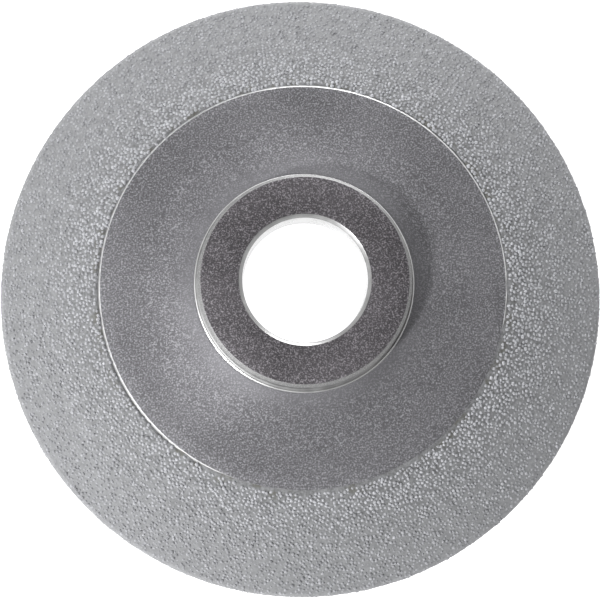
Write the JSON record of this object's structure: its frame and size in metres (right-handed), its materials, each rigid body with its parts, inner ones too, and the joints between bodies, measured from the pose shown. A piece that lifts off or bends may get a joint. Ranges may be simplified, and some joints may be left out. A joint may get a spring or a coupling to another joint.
{
  "type": "angle grinder carving disc",
  "caption": "Dished steel carving disc with a raised hub boss, a central spindle bore, and carbide grit brazed over its sloping cutting band and rim.",
  "frame": {"origin": "on the spindle axis, level with the lowest point of the rim", "axes": "+Z along the spindle axis, from the dish's hollow side to the hub boss, towards the grinder"},
  "size_m": [0.1148, 0.1147, 0.0145],
  "materials": {
    "blasted_steel": "satin",
    "hub_steel": "satin",
    "braze": "satin",
    "carbide_grit": "matte"
  },
  "bodies": {
    "root": {"dish_plate": "blasted_steel", "hub_boss": "hub_steel", "hub_braze_fillet": "braze", "top_braze_bond": "braze", "rim_braze_bond": "braze", "under_braze_bond": "braze", "top_grit": "carbide_grit", "rim_grit": "carbide_grit", "under_grit": "carbide_grit"}
  },
  "joints": []
}
